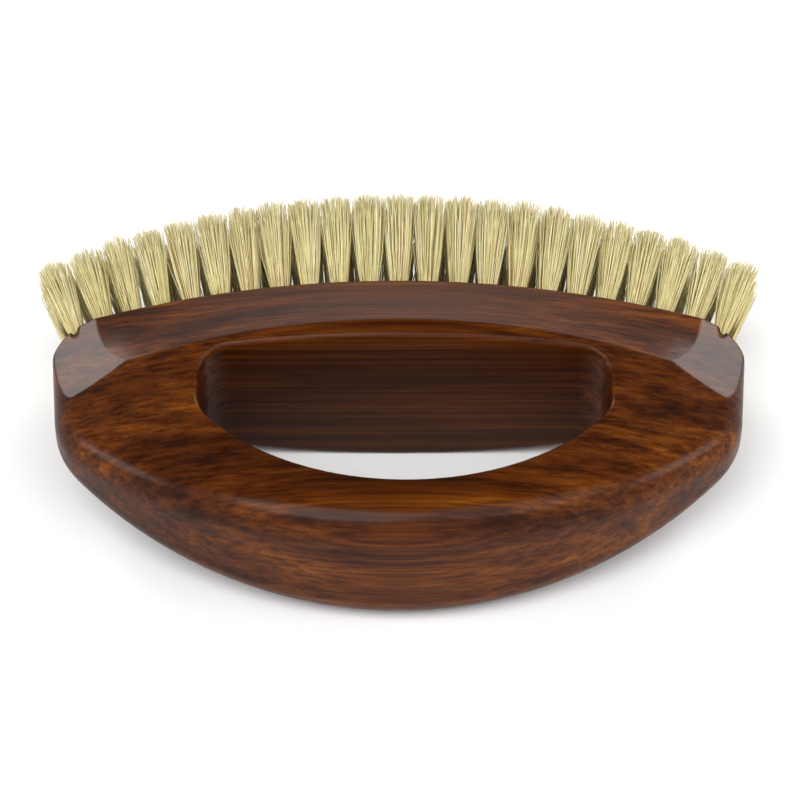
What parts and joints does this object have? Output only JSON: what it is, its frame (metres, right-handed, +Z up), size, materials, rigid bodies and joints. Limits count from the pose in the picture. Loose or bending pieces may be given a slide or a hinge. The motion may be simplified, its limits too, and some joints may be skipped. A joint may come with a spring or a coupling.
{
  "type": "clothes brush",
  "caption": "Clothes brush: a stained wooden block with crowned sides and a hand slot through it, and an arched face drilled for pale bristle tufts.",
  "frame": {"origin": "on the surface the brush lies on, under the middle of the block's length and of the whole brush's depth", "axes": "+X along the block, +Y from the grip to the bristles, +Z up through the block's thickness, with the brush lying on one of its crowned sides"},
  "size_m": [0.1882, 0.1212, 0.0487],
  "materials": {
    "walnut_stained_beech": "satin lacquer",
    "bristle": "natural hog bristle",
    "anchor_wire": "flat drawn wire"
  },
  "bodies": {
    "root": {"anchors_01": "anchor_wire", "anchors_02": "anchor_wire", "anchors_03": "anchor_wire", "anchors_04": "anchor_wire", "anchors_05": "anchor_wire", "anchors_06": "anchor_wire", "anchors_07": "anchor_wire", "anchors_08": "anchor_wire", "anchors_09": "anchor_wire", "anchors_10": "anchor_wire", "anchors_11": "anchor_wire", "anchors_12": "anchor_wire", "anchors_13": "anchor_wire", "anchors_14": "anchor_wire", "anchors_15": "anchor_wire", "anchors_16": "anchor_wire", "anchors_17": "anchor_wire", "anchors_18": "anchor_wire", "anchors_19": "anchor_wire", "anchors_20": "anchor_wire", "anchors_21": "anchor_wire", "anchors_22": "anchor_wire", "anchors_23": "anchor_wire", "block": "walnut_stained_beech", "tufts_01": "bristle", "tufts_02": "bristle", "tufts_03": "bristle", "tufts_04": "bristle", "tufts_05": "bristle", "tufts_06": "bristle", "tufts_07": "bristle", "tufts_08": "bristle", "tufts_09": "bristle", "tufts_10": "bristle", "tufts_11": "bristle", "tufts_12": "bristle", "tufts_13": "bristle", "tufts_14": "bristle", "tufts_15": "bristle", "tufts_16": "bristle", "tufts_17": "bristle", "tufts_18": "bristle", "tufts_19": "bristle", "tufts_20": "bristle", "tufts_21": "bristle", "tufts_22": "bristle", "tufts_23": "bristle"}
  },
  "joints": []
}
